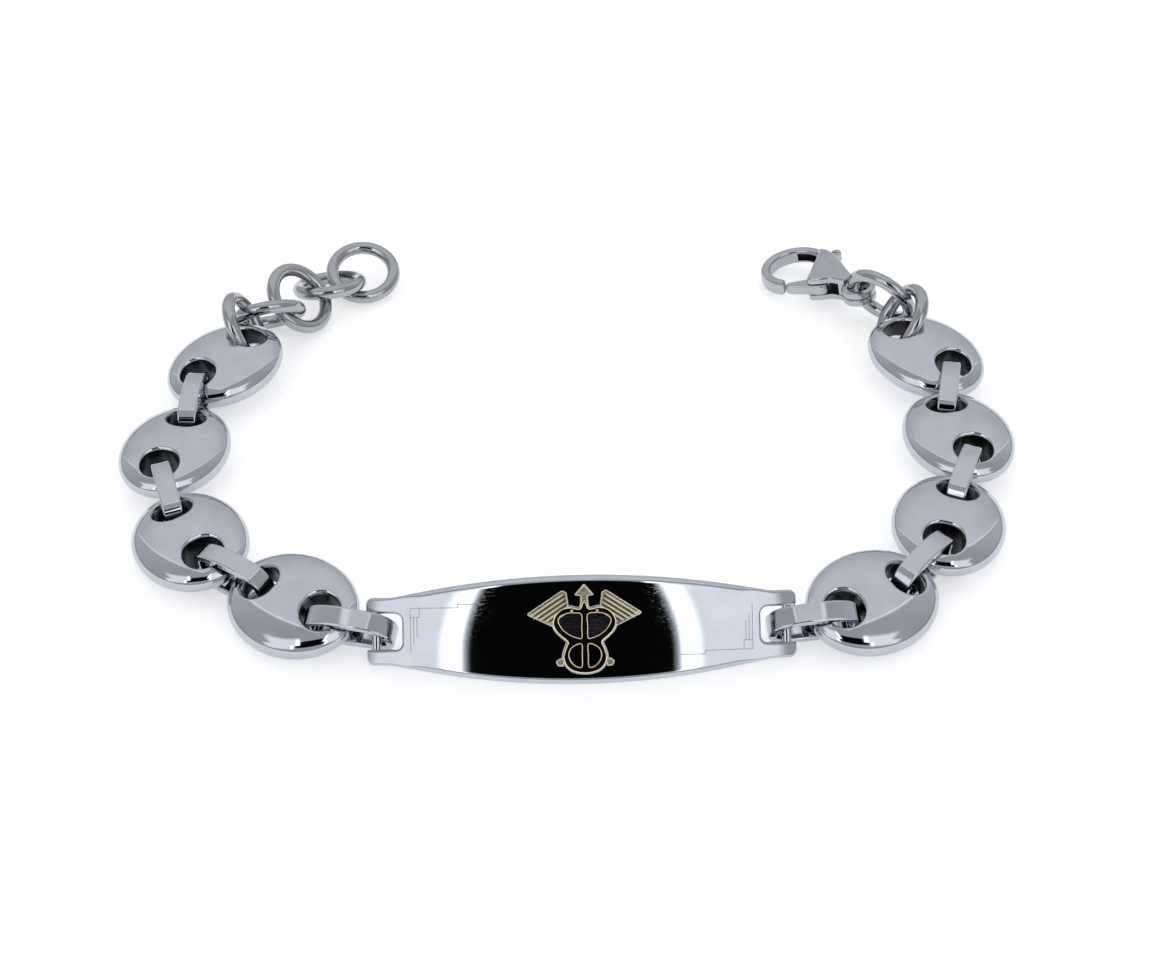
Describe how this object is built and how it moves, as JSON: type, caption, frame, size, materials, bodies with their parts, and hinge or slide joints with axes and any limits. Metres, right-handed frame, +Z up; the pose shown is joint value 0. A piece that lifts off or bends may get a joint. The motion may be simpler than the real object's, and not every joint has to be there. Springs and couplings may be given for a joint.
{
  "type": "medical alert bracelet",
  "caption": "Medical alert bracelet lying open: arched ID plate with raised caduceus, oval puffed links, flat bar links, ring extension and lobster clasp.",
  "frame": {"origin": "middle of the box on the table that the bracelet lies on", "axes": "+X along the ID plate to the clasp's side, +Y from the plate to the open ends, +Z up"},
  "size_m": [0.0941, 0.0711, 0.0096],
  "materials": {
    "polished_steel": "mirror polished stainless steel",
    "satin_steel": "cast stainless steel, tumbled to a satin sheen",
    "gold": "polished pale gold plating"
  },
  "bodies": {
    "chain": {"id_plate": "polished_steel", "plate_pin_left": "polished_steel", "plate_pin_right": "polished_steel", "caduceus": "gold", "puffed_link_left_1": "polished_steel", "puffed_link_left_2": "polished_steel", "puffed_link_left_3": "polished_steel", "puffed_link_left_4": "polished_steel", "puffed_link_right_1": "polished_steel", "puffed_link_right_2": "polished_steel", "puffed_link_right_3": "polished_steel", "puffed_link_right_4": "polished_steel", "bar_link_left_1": "polished_steel", "bar_link_left_2": "polished_steel", "bar_link_left_3": "polished_steel", "bar_link_left_4": "polished_steel", "bar_link_right_1": "polished_steel", "bar_link_right_2": "polished_steel", "bar_link_right_3": "polished_steel", "bar_link_right_4": "polished_steel", "ring_left_1": "polished_steel", "ring_left_2": "polished_steel", "ring_left_3": "polished_steel", "ring_left_4": "polished_steel", "ring_left_5": "polished_steel", "ring_right_1": "polished_steel", "ring_right_2": "polished_steel", "clasp_body": "satin_steel", "clasp_pin": "satin_steel"},
    "lever": {"clasp_lever": "satin_steel"}
  },
  "joints": [
    {"name": "lever_hinge", "type": "hinge", "parent": "chain", "child": "lever", "pos_m": [0.02983, 0.02603, 0.00269], "axis": [-0.1813, 0.0794, 0.9802], "range_deg": [-22, 0], "stiffness_Nm_per_rad": 0.00005, "springref_deg": 5.73}
  ]
}
